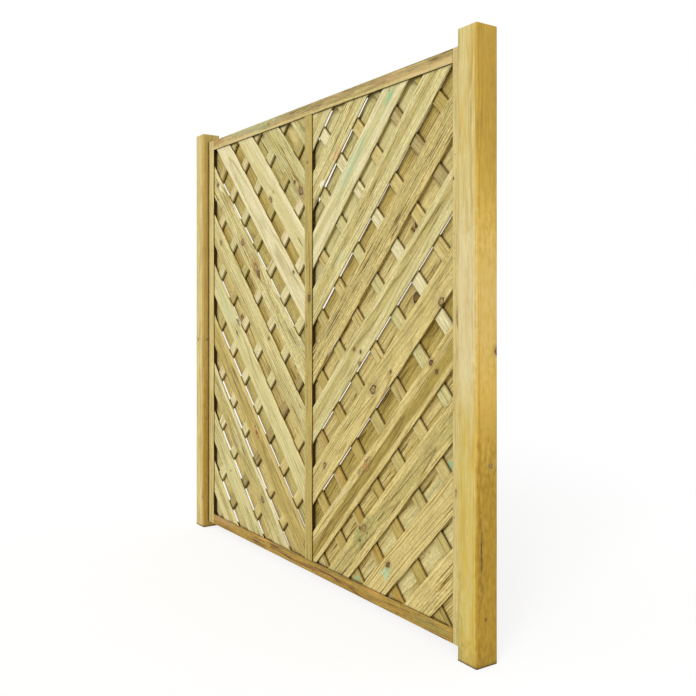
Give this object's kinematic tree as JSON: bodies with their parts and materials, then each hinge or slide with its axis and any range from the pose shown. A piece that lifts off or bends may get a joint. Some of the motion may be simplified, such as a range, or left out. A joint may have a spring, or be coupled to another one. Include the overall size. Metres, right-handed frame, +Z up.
{
  "type": "wooden chevron trellis panel",
  "caption": "Framed wooden garden screen with a chevron lattice of crossed slats in two bays, carried between two square posts.",
  "frame": {"origin": "on the ground, midway between the two posts and on the middle plane of the panel", "axes": "+Z up, +X to the right as seen from the front, and the front of the panel faces -Y"},
  "size_m": [1.9666, 0.083, 1.864],
  "materials": {
    "post_pine": "planed softwood, pressure treated, left unpainted, with visible grain and knots",
    "frame_pine": "planed softwood, pressure treated, left unpainted",
    "slat_pine_pale": "thin planed softwood board, pressure treated, pale green cream",
    "slat_pine_olive": "thin planed softwood board, pressure treated, olive",
    "slat_pine_cream": "thin planed softwood board, pressure treated, cream",
    "slat_pine_golden": "thin planed softwood board, pressure treated, golden brown",
    "screw_steel": "zinc plated steel"
  },
  "bodies": {
    "root": {"left_post": "post_pine", "right_post": "post_pine", "left_stile": "frame_pine", "right_stile": "frame_pine", "top_rail": "frame_pine", "bottom_rail": "frame_pine", "mullion": "frame_pine", "left_front_slat_01": "slat_pine_pale", "left_front_slat_02": "slat_pine_olive", "left_front_slat_03": "slat_pine_cream", "left_front_slat_04": "slat_pine_golden", "left_front_slat_05": "slat_pine_pale", "left_front_slat_06": "slat_pine_olive", "left_front_slat_07": "slat_pine_cream", "left_front_slat_08": "slat_pine_golden", "left_front_slat_09": "slat_pine_pale", "left_front_slat_10": "slat_pine_olive", "left_front_slat_11": "slat_pine_cream", "left_back_slat_01": "slat_pine_pale", "left_back_slat_02": "slat_pine_olive", "left_back_slat_03": "slat_pine_cream", "left_back_slat_04": "slat_pine_golden", "left_back_slat_05": "slat_pine_pale", "left_back_slat_06": "slat_pine_olive", "left_back_slat_07": "slat_pine_cream", "left_back_slat_08": "slat_pine_golden", "left_back_slat_09": "slat_pine_pale", "left_back_slat_10": "slat_pine_olive", "left_back_slat_11": "slat_pine_cream", "right_front_slat_01": "slat_pine_olive", "right_front_slat_02": "slat_pine_cream", "right_front_slat_03": "slat_pine_golden", "right_front_slat_04": "slat_pine_pale", "right_front_slat_05": "slat_pine_olive", "right_front_slat_06": "slat_pine_cream", "right_front_slat_07": "slat_pine_golden", "right_front_slat_08": "slat_pine_pale", "right_front_slat_09": "slat_pine_olive", "right_front_slat_10": "slat_pine_cream", "right_front_slat_11": "slat_pine_golden", "right_back_slat_01": "slat_pine_olive", "right_back_slat_02": "slat_pine_cream", "right_back_slat_03": "slat_pine_golden", "right_back_slat_04": "slat_pine_pale", "right_back_slat_05": "slat_pine_olive", "right_back_slat_06": "slat_pine_cream", "right_back_slat_07": "slat_pine_golden", "right_back_slat_08": "slat_pine_pale", "right_back_slat_09": "slat_pine_olive", "right_back_slat_10": "slat_pine_cream", "right_back_slat_11": "slat_pine_golden", "left_screw_1": "screw_steel", "left_screw_2": "screw_steel", "left_screw_3": "screw_steel", "right_screw_1": "screw_steel", "right_screw_2": "screw_steel", "right_screw_3": "screw_steel"}
  },
  "joints": []
}
